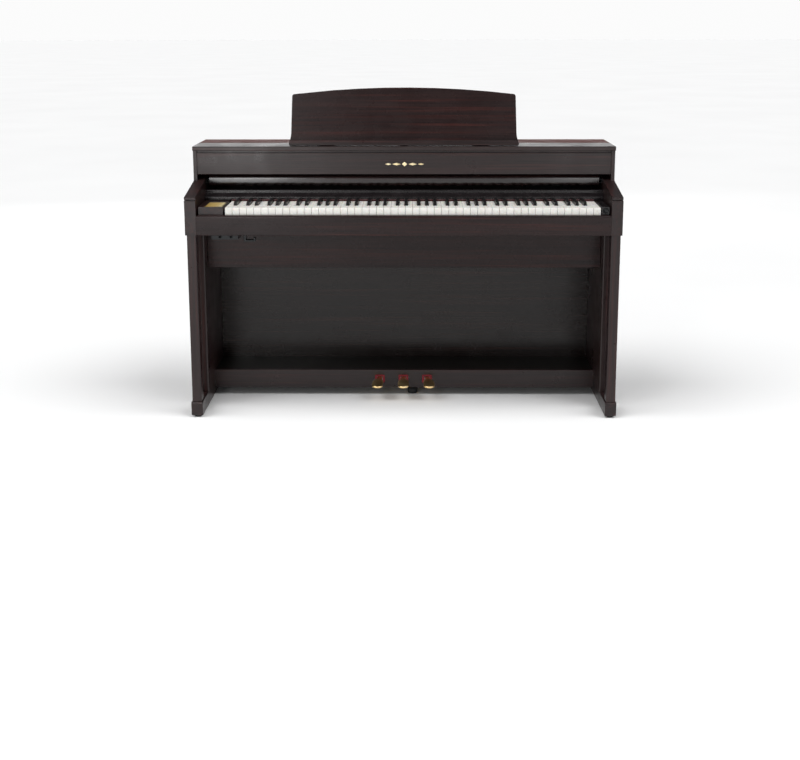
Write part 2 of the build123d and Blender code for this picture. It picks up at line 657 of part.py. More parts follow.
# ---- all nodes -----------------------------------------------------------------------------
def all_nodes():
    nodes = {}
    for name, side in (("left", -1), ("right", 1)):
        nodes["side_board_" + name] = side_board(side)
        nodes["leg_" + name] = leg(side)
        nodes["toe_" + name] = toe(side)
        nodes["stand_side_" + name] = stand_side(side)
    nodes["top_board_front"], nodes["top_board_rear"] = top_boards()
    for make in (front_panel, top_rail, cabinet_back, keybed, key_slip, key_frame, cheek_left,
                 cheek_right, name_board, touch_display, power_button, jack_box,
                 headphone_hook, main_board, socket_panel, fallboard, fallboard_rails,
                 music_rest, rest_ledge, rest_prop, rest_hinges, speaker_front, speaker_floor,
                 speakers, back_board, pedal_rail, pedal_shelf, height_adjuster,
                 floor_glides, stand_screws):
        nodes[make.__name__] = make()
    nodes["pedal_bracket"] = Compound(children=[pedal_bracket(), adjuster_nut()])
    for name, x, flare in zip(("left", "middle", "right"), PEDAL_X,
                              (-PEDAL_FLARE, 0, PEDAL_FLARE)):
        nodes["pedal_" + name] = pedal(x, flare)
    nodes.update(key_nodes())
    return nodes


os.makedirs("parts", exist_ok=True)
for node, shape in all_nodes().items():
    export_step(shape, "parts/" + node + ".step")
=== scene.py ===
import json
import math
import random

import bmesh
import bpy
from mathutils import Matrix, Vector


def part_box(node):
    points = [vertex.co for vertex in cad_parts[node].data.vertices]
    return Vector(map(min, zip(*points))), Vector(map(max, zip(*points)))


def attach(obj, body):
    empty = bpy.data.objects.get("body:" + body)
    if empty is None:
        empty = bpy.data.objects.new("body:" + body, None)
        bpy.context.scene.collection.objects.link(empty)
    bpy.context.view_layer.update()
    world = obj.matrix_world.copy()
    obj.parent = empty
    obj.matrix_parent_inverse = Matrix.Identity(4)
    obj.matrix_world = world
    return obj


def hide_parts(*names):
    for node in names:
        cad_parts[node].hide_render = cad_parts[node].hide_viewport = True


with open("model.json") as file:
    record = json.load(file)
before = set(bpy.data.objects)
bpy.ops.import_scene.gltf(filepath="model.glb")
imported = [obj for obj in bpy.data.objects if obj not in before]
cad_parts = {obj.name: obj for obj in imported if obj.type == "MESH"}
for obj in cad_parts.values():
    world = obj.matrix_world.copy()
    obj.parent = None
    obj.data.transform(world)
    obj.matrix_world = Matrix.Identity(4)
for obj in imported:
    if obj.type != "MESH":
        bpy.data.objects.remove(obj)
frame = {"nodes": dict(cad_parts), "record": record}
NODES = frame["nodes"]
RECORD = frame["record"]
BODY_OF = {node: body for body, group in RECORD["behaviour"]["bodies"].items() for node in group}
SLOT_OF = {part["node"]: part["material_slot"] for part in RECORD["subparts"]}
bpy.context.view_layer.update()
MM = 0.001
FULL_TURN = 2 * math.pi
MIX_FACTOR, MIX_FIRST, MIX_SECOND = 0, 6, 7     # sockets of a Mix node that mixes colours
MIX_RESULT = 2


# ---- node helpers for materials ------------------------------------------------------------
class Tree:
    """A small wrapper that adds shader nodes and links them in one call each."""

    def __init__(self, name):
        self.material = bpy.data.materials.new(name)
        self.material.use_nodes = True
        self.nodes = self.material.node_tree.nodes
        self.links = self.material.node_tree.links
        self.shader = self.nodes["Principled BSDF"]

    def add(self, kind, inputs=None, **settings):
        """Adds a node; an input is either a value or another node's output."""
        node = self.nodes.new(kind)
        for key, value in settings.items():
            setattr(node, key, value)
        for key, value in (inputs or {}).items():
            if isinstance(value, bpy.types.NodeSocket):
                self.links.new(value, node.inputs[key])
            else:
                node.inputs[key].default_value = value
        return node

    def place(self, scale):
        """Object coordinates, stretched by scale."""
        coords = self.add("ShaderNodeTexCoord")
        mapping = self.add("ShaderNodeMapping", {"Vector": coords.outputs["Object"],
                                                 "Scale": scale})
        return mapping.outputs["Vector"]

    def noise(self, scale, detail=4.0, rough=0.55, distort=0.0):
        """A noise factor; its three scales are cells per metre along X, Y and Z."""
        node = self.add("ShaderNodeTexNoise", {"Vector": self.place(scale), "Scale": 1.0,
                                               "Detail": detail, "Roughness": rough,
                                               "Distortion": distort})
        return node.outputs["Fac"]

    def ramp(self, factor, stops):
        """A colour ramp through (position, colour) stops."""
        node = self.add("ShaderNodeValToRGB", {"Fac": factor})
        elements = node.color_ramp.elements
        while len(elements) < len(stops):
            elements.new(0.5)
        for element, (position, colour) in zip(elements, stops):
            element.position = position
            element.color = (*colour, 1)
        return node.outputs["Color"]

    def spread(self, factor, low, high, start=0.3, end=0.7):
        """Maps a factor between start and end to low and high."""
        node = self.add("ShaderNodeMapRange", {"Value": factor, "From Min": start, "From Max": end,
                                               "To Min": low, "To Max": high})
        return node.outputs["Result"]

    def mix(self, factor, first, second, blend="MIX"):
        """Blends two colours, each a node's output or (red, green, blue)."""
        node = self.add("ShaderNodeMix", data_type="RGBA", blend_type=blend)
        for index, value in ((MIX_FACTOR, factor), (MIX_FIRST, first), (MIX_SECOND, second)):
            if isinstance(value, bpy.types.NodeSocket):
                self.links.new(value, node.inputs[index])
            elif index == MIX_FACTOR:
                node.inputs[index].default_value = value
            else:
                node.inputs[index].default_value = (*value, 1)
        return node.outputs[MIX_RESULT]

    def math(self, operation, first, second=0.0):
        """One arithmetic step on two factors."""
        node = self.add("ShaderNodeMath", operation=operation)
        for index, value in enumerate((first, second)):
            if isinstance(value, bpy.types.NodeSocket):
                self.links.new(value, node.inputs[index])
            else:
                node.inputs[index].default_value = value
        return node.outputs[0]

    def bump(self, height, strength, distance, below=None):
        """Fine relief from a height factor, on top of the relief below it if there is one."""
        inputs = {"Height": height, "Strength": strength, "Distance": distance}
        if below is not None:
            inputs["Normal"] = below
        return self.add("ShaderNodeBump", inputs).outputs["Normal"]

    def finish(self, colour=None, rough=None, normal=None, **constants):
        """Links what varies to the shader and sets what doesn't on the shader's own sockets."""
        names = {"colour": "Base Color", "rough": "Roughness", "normal": "Normal"}
        for key, value in (("colour", colour), ("rough", rough), ("normal", normal)):
            if isinstance(value, bpy.types.NodeSocket):
                self.links.new(value, self.shader.inputs[names[key]])
            elif value is not None:
                self.shader.inputs[names[key]].default_value = value
        for key, value in constants.items():
            self.shader.inputs[key.replace("_", " ")].default_value = value
        return self.material


def along(axis, run, cross):
    """A scale that is 'run' along an axis and 'cross' square to it."""
    return tuple(run if letter == axis else cross for letter in "xyz")


# ---- materials -----------------------------------------------------------------------------
def rosewood(name, axis, dark, warm, streak, shine=(0.26, 0.38), coat=0.08, level=0.32):
    """Dark veneer: broad bands, fine lines and red streaks along one axis, under satin lacquer."""
    t = Tree(name)
    bands = t.noise(along(axis, 0.9, 34), detail=3, distort=0.25)
    lines = t.noise(along(axis, 5, 420), detail=4, rough=0.65)
    pores = t.noise(along(axis, 34, 1500), detail=2, rough=0.5)
    red = t.noise(along(axis, 1.6, 95), detail=3, distort=0.15)
    base = t.mix(t.spread(bands, 0, 1), dark, warm)
    base = t.mix(t.spread(red, 0, 0.75, 0.52, 0.72), base, streak)
    grain = t.ramp(lines, [(0.30, (0.45, 0.42, 0.42)), (0.52, (1, 1, 1)), (0.75, (1.5, 1.35, 1.3))])
    base = t.mix(0.8, base, grain, "MULTIPLY")
    pore = t.ramp(pores, [(0.30, (0.25, 0.22, 0.22)), (0.42, (1, 1, 1))])
    base = t.mix(0.6, base, pore, "MULTIPLY")
    rough = t.spread(t.noise((14, 14, 14), detail=5), *shine)
    normal = t.bump(pores, 0.10, 0.0002)
    normal = t.bump(lines, 0.06, 0.0004, normal)
    normal = t.bump(t.noise((3, 3, 3), detail=1), 0.05, 0.004, normal)
    return t.finish(base, rough, normal, Coat_Weight=coat, Coat_Roughness=0.14,
                    Specular_IOR_Level=level)


def laminate():
    """Near-black printed board with a faint grain, on the hidden boards."""
    t = Tree("board_black")
    lines = t.noise(along("x", 4, 260), detail=4, rough=0.6)
    fibre = t.noise((900, 900, 900), detail=2)
    base = t.mix(t.spread(lines, 0, 1), (0.0045, 0.004, 0.004), (0.013, 0.011, 0.010))
    rough = t.spread(fibre, 0.30, 0.44)
    normal = t.bump(fibre, 0.08, 0.0003)
    return t.finish(base, rough, t.bump(lines, 0.06, 0.0003, normal), Specular_IOR_Level=0.30)


def hardboard():
    """Rear panel: brown-black hardboard with a fibrous surface and faint press marks."""
    t = Tree("hardboard")
    fibre = t.noise((620, 620, 620), detail=6, rough=0.7)
    cloud = t.noise((9, 9, 9), detail=4)
    base = t.mix(t.spread(cloud, 0, 1), (0.018, 0.014, 0.012), (0.035, 0.027, 0.023))
    flecks = t.ramp(fibre, [(0.35, (0.6, 0.55, 0.5)), (0.62, (1, 1, 1)), (0.75, (1.6, 1.45, 1.3))])
    base = t.mix(0.7, base, flecks, "MULTIPLY")
    return t.finish(base, t.spread(fibre, 0.62, 0.85), t.bump(fibre, 0.22, 0.0005))


def plastic(name, dark, light, rough, level):
    """Moulded plastic: a fine spark-eroded texture and slow drifts of tone and gloss."""
    t = Tree(name)
    fine = t.noise((1400, 1400, 1400), detail=2)
    cloud = t.noise((22, 22, 22), detail=4)
    base = t.mix(t.spread(cloud, 0, 1), dark, light)
    shine = t.spread(cloud, rough - 0.06, rough + 0.08)
    return t.finish(base, shine, t.bump(fine, 0.08, 0.0002), Specular_IOR_Level=level)


def ivory():
    """White key tops: warm white with a pale long grain and a slightly silky surface."""
    t = Tree("key_white")
    island = t.add("ShaderNodeNewGeometry").outputs["Random Per Island"]
    grain = t.noise(along("y", 24, 900), detail=3, rough=0.6)
    base = t.mix(island, (0.86, 0.84, 0.79), (0.92, 0.905, 0.86))
    base = t.mix(t.spread(grain, 0.0, 0.30), base, (0.79, 0.765, 0.70))
    rough = t.spread(t.noise((60, 60, 60), detail=4), 0.24, 0.38)
    return t.finish(base, rough, t.bump(grain, 0.05, 0.0002), Coat_Weight=0.15,
                    Coat_Roughness=0.18, Subsurface_Weight=0.05, Subsurface_Scale=0.003)


def ebony():
    """Black key tops: deep black with a fine long grain."""
    t = Tree("key_black")
    grain = t.noise(along("y", 30, 1300), detail=4, rough=0.65)
    base = t.mix(t.spread(grain, 0, 1), (0.005, 0.005, 0.0055), (0.013, 0.012, 0.012))
    rough = t.spread(t.noise((80, 80, 80), detail=3), 0.22, 0.36)
    return t.finish(base, rough, t.bump(grain, 0.12, 0.0002), Specular_IOR_Level=0.22)


def metal(name, low, high, rough, axis="x"):
    """Metal with fine brushed scratches along one axis and slow patches of tarnish."""
    t = Tree(name)
    lines = t.noise(along(axis, 40, 2600), detail=3, rough=0.6)
    cloud = t.noise((30, 30, 30), detail=5)
    base = t.mix(t.spread(cloud, 0, 1), low, high)
    shine = t.spread(t.math("MULTIPLY", lines, cloud), rough - 0.07, rough + 0.12, 0.1, 0.4)
    return t.finish(base, shine, t.bump(lines, 0.10, 0.0001), Metallic=1.0)


def felt(name, pit, pile_tip, worn):
    """Deep red pressed felt: a fuzzy pile with darker pits and a soft sheen."""
    t = Tree(name)
    pile = t.noise((1900, 1900, 1900), detail=6, rough=0.75)
    cloud = t.noise((160, 160, 160), detail=4)
    base = t.mix(t.spread(pile, 0, 1), pit, pile_tip)
    base = t.mix(t.spread(cloud, 0.0, 0.45), base, worn)
    return t.finish(base, 0.95, t.bump(pile, 0.7, 0.0008), Sheen_Weight=0.35,
                    Sheen_Roughness=0.5)


def rubber():
    """Black rubber with a gritty, matt surface."""
    t = Tree("rubber")
    grit = t.noise((1500, 1500, 1500), detail=4)
    base = t.mix(t.spread(grit, 0, 1), (0.012, 0.012, 0.012), (0.035, 0.034, 0.033))
    return t.finish(base, t.spread(grit, 0.65, 0.9), t.bump(grit, 0.3, 0.0003))


def paper_cone():
    """Speaker cone and basket: black paper with fine radial fibres."""
    t = Tree("speaker")
    fibre = t.noise((700, 700, 240), detail=5, rough=0.7)
    base = t.mix(t.spread(fibre, 0, 1), (0.008, 0.008, 0.008), (0.030, 0.029, 0.028))
    return t.finish(base, t.spread(fibre, 0.55, 0.85), t.bump(fibre, 0.35, 0.0004))


def circuit():
    """Green solder mask with paler copper traces and pale pads."""
    t = Tree("circuit")
    place = t.place((260, 260, 260))
    cells = t.add("ShaderNodeTexVoronoi", {"Vector": place, "Scale": 0.6},
                  distance="CHEBYCHEV", feature="F1")
    edges = t.spread(cells.outputs["Distance"], 0, 1, 0.30, 0.34)
    base = t.mix(edges, (0.006, 0.075, 0.028), (0.012, 0.13, 0.05))
    pads = t.spread(t.noise((420, 420, 420), detail=1), 0, 1, 0.70, 0.74)
    base = t.mix(pads, base, (0.45, 0.45, 0.42))
    return t.finish(base, 0.35, t.bump(edges, 0.2, 0.0002), Coat_Weight=0.4,
                    Coat_Roughness=0.15)


DISPLAY_ROWS = 6
DISPLAY_COLUMNS = 2


def screen():
    """Touch display: dark glass over an amber glow with plain blocks and bars, no lettering."""
    low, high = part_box("touch_display")
    t = Tree("display")
    coords = t.add("ShaderNodeTexCoord")
    split = t.add("ShaderNodeSeparateXYZ", {"Vector": coords.outputs["Object"]})
    across = t.spread(split.outputs["X"], 0, 1, low.x, high.x)
    up = t.spread(split.outputs["Y"], 0, 1, low.y, high.y)
    rows = t.math("SINE", t.math("MULTIPLY", up, FULL_TURN * DISPLAY_ROWS))
    columns = t.math("SINE", t.math("MULTIPLY", across, FULL_TURN * DISPLAY_COLUMNS))
    tiles = t.math("MULTIPLY", t.math("GREATER_THAN", rows, 0.0),
                   t.math("GREATER_THAN", columns, -0.3))
    glow = t.ramp(across, [(0.0, (0.50, 0.33, 0.085)), (0.55, (0.62, 0.44, 0.15)),
                           (1.0, (0.78, 0.66, 0.36))])
    shown = t.mix(t.math("MULTIPLY", tiles, 0.16), glow, (0.30, 0.17, 0.03))
    speckle = t.noise((2400, 2400, 2400), detail=1)
    shown = t.mix(t.spread(speckle, 0.0, 0.10), shown, (0.25, 0.16, 0.05))
    t.links.new(shown, t.shader.inputs["Emission Color"])
    return t.finish(shown, 0.12, t.bump(speckle, 0.02, 0.0001), Emission_Strength=0.28,
                    Coat_Weight=0.6, Coat_Roughness=0.04)


DARK = (0.0125, 0.0078, 0.0080)
WARM = (0.0240, 0.0125, 0.0120)
STREAK = (0.0460, 0.0150, 0.0130)
MATERIALS = {
    "rosewood": rosewood("rosewood", "x", DARK, WARM, STREAK),
    # The top boards get a brighter, redder copy of the same veneer: painted light and sheen for the
    # top lit from above.
    "rosewood_top": rosewood("rosewood_top", "x", (0.070, 0.017, 0.014), (0.110, 0.028, 0.021),
                             (0.160, 0.036, 0.026), shine=(0.40, 0.52), coat=0.0, level=0.16),
    "board_black": laminate(),
    "name_black": plastic("name_black", (0.008, 0.0065, 0.007), (0.014, 0.011, 0.012), 0.24,
                          level=0.36),
    "key_white": ivory(),
    "key_black": ebony(),
    "steel": metal("steel", (0.36, 0.36, 0.37), (0.52, 0.52, 0.53), 0.34),
    "control_black": plastic("control_black", (0.010, 0.011, 0.012), (0.021, 0.023, 0.025), 0.34,
                             level=0.25),
    "display": screen(),
    "brass": metal("brass", (0.80, 0.55, 0.24), (0.95, 0.74, 0.40), 0.33, axis="y"),
    "rubber": rubber(),
    "circuit": circuit(),
    "speaker": paper_cone(),
}
WOOD_UP = rosewood("rosewood_up", "z", DARK, WARM, STREAK)
WOOD_BACK = rosewood("rosewood_back", "y", DARK, WARM, STREAK)
WOOD_GLOSS = rosewood("rosewood_gloss", "x", DARK, WARM, STREAK, shine=(0.12, 0.18), coat=0.0,
                      level=0.65)
# Painted shade: a darker copy of the veneer for the back board, standing in for the shade under the
# keybed.
WOOD_PAINTED_SHADE = rosewood("rosewood_painted_shade", "x", (0.0060, 0.0042, 0.0038), (0.0140, 0.0082, 0.0070),
                      (0.0280, 0.0110, 0.0085), shine=(0.20, 0.30), coat=0.0, level=0.33)
WOOD_LOW = rosewood("rosewood_low", "x", DARK, WARM, STREAK, shine=(0.22, 0.32), coat=0.0,
                    level=0.21)
GILT = metal("gilt", (0.86, 0.70, 0.40), (0.96, 0.84, 0.58), 0.38)
HARDBOARD = hardboard()
FELT = felt("red_felt", (0.060, 0.0015, 0.005), (0.34, 0.009, 0.022), (0.14, 0.003, 0.010))
FELT_DARK = felt("dark_felt", (0.014, 0.0010, 0.0020), (0.08, 0.005, 0.008),
                 (0.03, 0.002, 0.003))


# ---- mesh helpers --------------------------------------------------------------------------
SHARP_ANGLE = 28              # degrees: edges sharper than this get rounded
FLAT_ANGLE = 1.5              # degrees: faces closer to level than this become one face
WELD = 0.02 * MM              # points closer than this become one point
POLE = 1e-7                   # a turned profile's radius below this is a point on the axis


def new_piece(name, mesh_builder, material, body, smooth=True):
    """Makes a piece from a bmesh, gives it a material, and lets it ride on a body."""
    mesh = bpy.data.meshes.new(name)
    mesh_builder.normal_update()
    mesh_builder.to_mesh(mesh)
    mesh_builder.free()
    piece = bpy.data.objects.new(name, mesh)
    bpy.context.scene.collection.objects.link(piece)
    mesh.materials.append(material)
    for polygon in mesh.polygons:
        polygon.use_smooth = smooth
    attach(piece, body)
    return piece


def apply_modifiers(piece):
    """Puts the modifiers' result into the piece's own mesh."""
    bpy.context.view_layer.update()
    graph = bpy.context.evaluated_depsgraph_get()
    mesh = bpy.data.meshes.new_from_object(piece.evaluated_get(graph))
    piece.modifiers.clear()
    piece.data = mesh


def soften(piece, width, segments=3):
    """Rounds every sharp edge of a piece and keeps its flat faces flat in shading."""
    bevel = piece.modifiers.new("edges", "BEVEL")
    bevel.width = width
    bevel.segments = segments
    bevel.limit_method = "ANGLE"
    bevel.angle_limit = math.radians(SHARP_ANGLE)
    weighted = piece.modifiers.new("shading", "WEIGHTED_NORMAL")
    weighted.keep_sharp = False
    apply_modifiers(piece)


def refined(node, width, material=None):
    """A mesh with rounded edges that stands for a CAD node of the same shape."""
    builder = bmesh.new()
    builder.from_mesh(NODES[node].data)
    bmesh.ops.remove_doubles(builder, verts=builder.verts, dist=WELD)
    bmesh.ops.dissolve_limit(builder, angle_limit=math.radians(FLAT_ANGLE), verts=builder.verts,
                             edges=builder.edges)
    slot = SLOT_OF[node]
    piece = new_piece(node + "_shown", builder, material or MATERIALS[slot], BODY_OF[node])
    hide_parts(node)
    soften(piece, width)


def add_box(builder, low, high):
    """Adds a box between two corners to a bmesh."""
    size = Vector(high) - Vector(low)
    place = Matrix.Translation((Vector(low) + Vector(high)) / 2) @ Matrix.Diagonal((*size, 1))
    bmesh.ops.create_cube(builder, size=1.0, matrix=place)


def add_lathe(builder, profile, place, steps=40):
    """Adds a closed turned shape: a profile of (radius, height) points spun about local Z."""
    rings = []
    for radius, height in profile:
        if radius < POLE:
            rings.append([builder.verts.new(place @ Vector((0, 0, height)))])
            continue
        ring = []
        for step in range(steps):
            turn = FULL_TURN * step / steps
            ring.append(builder.verts.new(
                place @ Vector((radius * math.cos(turn), radius * math.sin(turn), height))))
        rings.append(ring)
    for lower, upper in zip(rings, rings[1:]):
        for step in range(steps):
            nxt = (step + 1) % steps
            if len(lower) == 1 and len(upper) == 1:
                continue
            if len(lower) == 1:
                builder.faces.new((lower[0], upper[nxt], upper[step]))
            elif len(upper) == 1:
                builder.faces.new((lower[step], lower[nxt], upper[0]))
            else:
                builder.faces.new((lower[step], lower[nxt], upper[nxt], upper[step]))
    bmesh.ops.recalc_face_normals(builder, faces=builder.faces)


def join_rings(builder, rings):
    """Skins a row of vertex rings of one size and closes both ends."""
    count = len(rings[0])
    for first, second in zip(rings, rings[1:]):
        for step in range(count):
            nxt = (step + 1) % count
            builder.faces.new((first[step], first[nxt], second[nxt], second[step]))
    builder.faces.new(list(reversed(rings[0])))
    builder.faces.new(rings[-1])
    bmesh.ops.recalc_face_normals(builder, faces=builder.faces)


FACING_FRONT = Matrix.Rotation(math.radians(90), 4, "X")
FACING_BACK = Matrix.Rotation(math.radians(-90), 4, "X")
FACING_DOWN = Matrix.Rotation(math.pi, 4, "X")


# ---- boards, keys and other pieces that keep their CAD shape -------------------------------
KEY_BEVELS = {"key_white": 0.0010, "key_black": 0.0012}     # metres, by material slot
BEVELS = {                                                  # metres, by CAD node
    "side_board_left": 0.0012, "side_board_right": 0.0012, "top_board_front": 0.0008,
    "top_board_rear": 0.0008, "top_rail": 0.0006, "front_panel": 0.0010,
    "key_slip": 0.0010, "cheek_left": 0.0010, "cheek_right": 0.0010, "name_board": 0.0008,
    "fallboard": 0.0008, "music_rest": 0.0018, "rest_ledge": 0.0008, "speaker_front": 0.0015,
    "speaker_floor": 0.0008, "back_board": 0.0010, "pedal_rail": 0.0012,
    "pedal_shelf": 0.0008, "keybed": 0.0010, "cabinet_back": 0.0008,
    "rest_prop": 0.0006, "rest_hinges": 0.0003, "headphone_hook": 0.0022,
    "jack_box": 0.0012, "socket_panel": 0.0006, "floor_glides": 0.0012,
}
WOOD_MATERIALS = {
    "side_board_left": WOOD_BACK, "side_board_right": WOOD_BACK, "toe_left": WOOD_BACK,
    "toe_right": WOOD_BACK, "leg_left": WOOD_UP, "leg_right": WOOD_UP,
    "stand_side_left": WOOD_UP, "stand_side_right": WOOD_UP, "cheek_left": WOOD_BACK,
    "cabinet_back": HARDBOARD, "back_board": WOOD_PAINTED_SHADE, "fallboard": WOOD_GLOSS,
    "speaker_front": WOOD_LOW, "key_slip": WOOD_LOW, "music_rest": WOOD_LOW,
}
for side in ("left", "right"):
    BEVELS["leg_" + side] = 0.0015
    BEVELS["toe_" + side] = 0.0030
    BEVELS["stand_side_" + side] = 0.0015

for node, width in BEVELS.items():
    refined(node, width, WOOD_MATERIALS.get(node))
for node, slot in SLOT_OF.items():
    if slot in KEY_BEVELS:
        refined(node, KEY_BEVELS[slot])

for node, slot in SLOT_OF.items():
    shown = NODES[node]
    if not shown.hide_render:
        shown.data.materials.clear()
        shown.data.materials.append(MATERIALS[slot])


# ---- felts, and the rest's strip of painted shade ------------------------------------------
LEVER_HALF = 9.0 * MM
PEDAL_SHIFT = {"left": 7.0 * MM, "middle": 0.0, "right": -7.0 * MM}
SLOT_HALF = 17.9 * MM
SLOT_TOP = 75.8 * MM
SLOT_BOTTOM = 46.1 * MM
KEY_FELT_GAP = 0.5 * MM
KEY_FELT_TOP = 6.8 * MM       # above the white keys
KEY_FELT_FRONT = 2.8 * MM     # in front of the name board
KEY_FELT_REAR = 0.2 * MM


def fuzzy_bar(name, low, high, body, material, cell=4 * MM, lift=0.3 * MM, seed=3):
    """A felt or rubber strip: a box cut into short lengths whose faces are slightly uneven."""
    rng = random.Random(seed)
    builder = bmesh.new()
    add_box(builder, low, high)
    size = Vector(high) - Vector(low)
    longest = max(range(3), key=lambda index: size[index])
    runs = [edge for edge in builder.edges
            if abs((edge.verts[0].co - edge.verts[1].co)[longest]) > size[longest] * 0.9]
    bmesh.ops.subdivide_edges(builder, edges=runs, cuts=max(1, int(size[longest] / cell)))
    middle = (Vector(low) + Vector(high)) / 2
    for vert in builder.verts:
        pull = rng.uniform(0, lift)
        for index in range(3):
            if index != longest:
                vert.co[index] -= math.copysign(pull, vert.co[index] - middle[index])
    return new_piece(name, builder, material, body)


def key_felt():
    """Red strip that hangs just above the rear of the white keys."""
    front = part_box("name_board")[0].y
    keys_low, keys_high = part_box("white_keys_bass")
    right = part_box("white_keys_treble")[1].x
    fuzzy_bar("key_felt", (keys_low.x, front - KEY_FELT_FRONT, keys_high.z + KEY_FELT_GAP),
              (right, front - KEY_FELT_REAR, keys_high.z + KEY_FELT_TOP), "cabinet", FELT_DARK)


def rest_shade_strip():
    """Thin black rubber strip on the top board, under the ledge of the music rest: painted shade, a
    dark strip that stands in for the shade under the ledge.
    """
    low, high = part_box("rest_ledge")
    board_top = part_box("top_board_front")[1].z
    fuzzy_bar("rest_shade_strip", (low.x + 3 * MM, low.y + 2 * MM, board_top),
              (high.x - 3 * MM, low.y + 8 * MM, low.z - 0.2 * MM), "cabinet",
              MATERIALS["rubber"], lift=0.1 * MM)


def pedal_felts():
    """Red felt inside each pedal opening: pads over and under the lever, and a block each side."""
    rail_low, rail_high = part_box("pedal_rail")
    front = rail_low.y + 1.2 * MM
    back = rail_high.y - 1 * MM
    for name in ("left", "middle", "right"):
        pedal_low, pedal_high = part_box("pedal_" + name)
        centre = (pedal_low.x + pedal_high.x) / 2 + PEDAL_SHIFT[name]
        top = pedal_high.z + 0.8 * MM
        fuzzy_bar("pedal_felt_top_" + name, (centre - SLOT_HALF, front, top),
                  (centre + SLOT_HALF, back, SLOT_TOP), "cabinet", FELT, cell=2 * MM, seed=5)
        fuzzy_bar("pedal_felt_under_" + name, (centre - SLOT_HALF, front, SLOT_BOTTOM),
                  (centre + SLOT_HALF, back, SLOT_BOTTOM + 1.2 * MM), "cabinet", FELT,
                  cell=2 * MM, seed=6)
        for side in (-1, 1):
            edge = centre + side * SLOT_HALF
            inner = centre + side * (LEVER_HALF + 0.4 * MM)
            fuzzy_bar("pedal_felt_side_%s_%d" % (name, side > 0),
                      (min(edge, inner), front, SLOT_BOTTOM + 1.3 * MM),
                      (max(edge, inner), back, top - 0.1 * MM), "cabinet", FELT,
                      cell=2 * MM, seed=7)


key_felt()
rest_shade_strip()
pedal_felts()


# ---- pedals --------------------------------------------------------------------------------
PEDAL_STATIONS = 72
PEDAL_AROUND = 28
PEDAL_DROOP = 8.0 * MM
PEDAL_BEND = 59.0 * MM
PEDAL_CENTRE = 5.0 * MM       # the lever's middle line, under the top of the CAD pedal
PEDAL_THICK = 4.7 * MM        # half of the thickness
END_GAP = 0.4 * MM            # the brass stops this short of the CAD pedal's ends
TIP_HALF = 19.4 * MM
TIP_ROUND = 17.0 * MM
TIP_LENGTH = 40.0 * MM
TIP_TAPER = 42.0 * MM
SWERVE_START = 25.0 * MM
SWERVE_LENGTH = 80.0 * MM
SIDE_POWER = 0.60             # below 1 makes the section's sides squarer
CROWN_POWER = 0.78


def smooth_step(value):
    """Runs from 0 to 1 with level ends."""
    value = min(1.0, max(0.0, value))
    return value * value * (3 - 2 * value)


def pedal(name):
    """Cast brass pedal: a lever that widens and droops to a rounded, crowned tip."""
    low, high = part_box("pedal_" + name)
    tip_x = (low.x + high.x) / 2
    lever_x = tip_x + PEDAL_SHIFT[name]
    length = high.y - low.y
    builder = bmesh.new()
    rings = []
    for index in range(PEDAL_STATIONS + 1):
        reach = END_GAP + (length - 2 * END_GAP) * (index / PEDAL_STATIONS) ** 1.5
        flare = 1 - smooth_step((reach - TIP_LENGTH) / TIP_TAPER)
        half_width = LEVER_HALF - 0.2 * MM + (TIP_HALF - LEVER_HALF) * flare
        nose = min(1.0, reach / TIP_ROUND)
        half_width *= math.sqrt(1 - (1 - nose) ** 2.3)
        swerve = smooth_step((reach - SWERVE_START) / SWERVE_LENGTH)
        centre_x = tip_x + (lever_x - tip_x) * swerve
        droop = PEDAL_DROOP * max(0.0, 1 - reach / PEDAL_BEND)
        centre_z = high.z - PEDAL_CENTRE - droop
        thick = PEDAL_THICK * math.sqrt(max(0.06, 1 - (1 - nose) ** 5))
        ring = []
        for step in range(PEDAL_AROUND):
            turn = FULL_TURN * step / PEDAL_AROUND
            across, up = math.cos(turn), math.sin(turn)
            x = math.copysign(abs(across) ** SIDE_POWER, across) * half_width
            z = math.copysign(abs(up) ** CROWN_POWER, up) * thick
            ring.append(builder.verts.new((centre_x + x, low.y + reach, centre_z + z)))
        rings.append(ring)
    join_rings(builder, rings)
    piece = new_piece("pedal_%s_shown" % name, builder, MATERIALS["brass"], "pedal_" + name)
    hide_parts("pedal_" + name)


for name in ("left", "middle", "right"):
    pedal(name)


# ---- brass ornament on the front panel -----------------------------------------------------
ORNAMENT_X = 3.0 * MM
ORNAMENT_DROP = 1.5 * MM      # under the panel's middle
RIM_SHARE = 0.94


def gem(builder, centre, half_length, half_height, rise):
    """A faceted lozenge, proud of a panel that faces the player."""
    corners = [(-half_length, 0), (0, -half_height), (half_length, 0), (0, half_height)]
    base = [builder.verts.new(centre + Vector((a, 0, b))) for a, b in corners]
    rim = [builder.verts.new(centre + Vector((a * RIM_SHARE, -rise * 0.5, b * RIM_SHARE)))
           for a, b in corners]
    peak = builder.verts.new(centre + Vector((0, -rise, 0)))
    for step in range(4):
        nxt = (step + 1) % 4
        builder.faces.new((base[step], base[nxt], rim[nxt], rim[step]))
        builder.faces.new((rim[step], rim[nxt], peak))
    builder.faces.new(list(reversed(base)))


def ornament():
    """Plain brass trim: a lozenge between two pairs of long narrow ones."""
    low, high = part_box("front_panel")
    centre = Vector((ORNAMENT_X, low.y + 0.02 * MM, (low.z + high.z) / 2 - ORNAMENT_DROP))
    builder = bmesh.new()
    gem(builder, centre, 9 * MM, 8 * MM, 1.4 * MM)
    for side in (-1, 1):
        gem(builder, centre + Vector((side * 27 * MM, 0, 0)), 15 * MM, 4.4 * MM, 1.2 * MM)
        gem(builder, centre + Vector((side * 55 * MM, 0, 0)), 11 * MM, 3.4 * MM, 1.0 * MM)
    bmesh.ops.recalc_face_normals(builder, faces=builder.faces)
    new_piece("ornament", builder, GILT, "cabinet", smooth=False)


ornament()


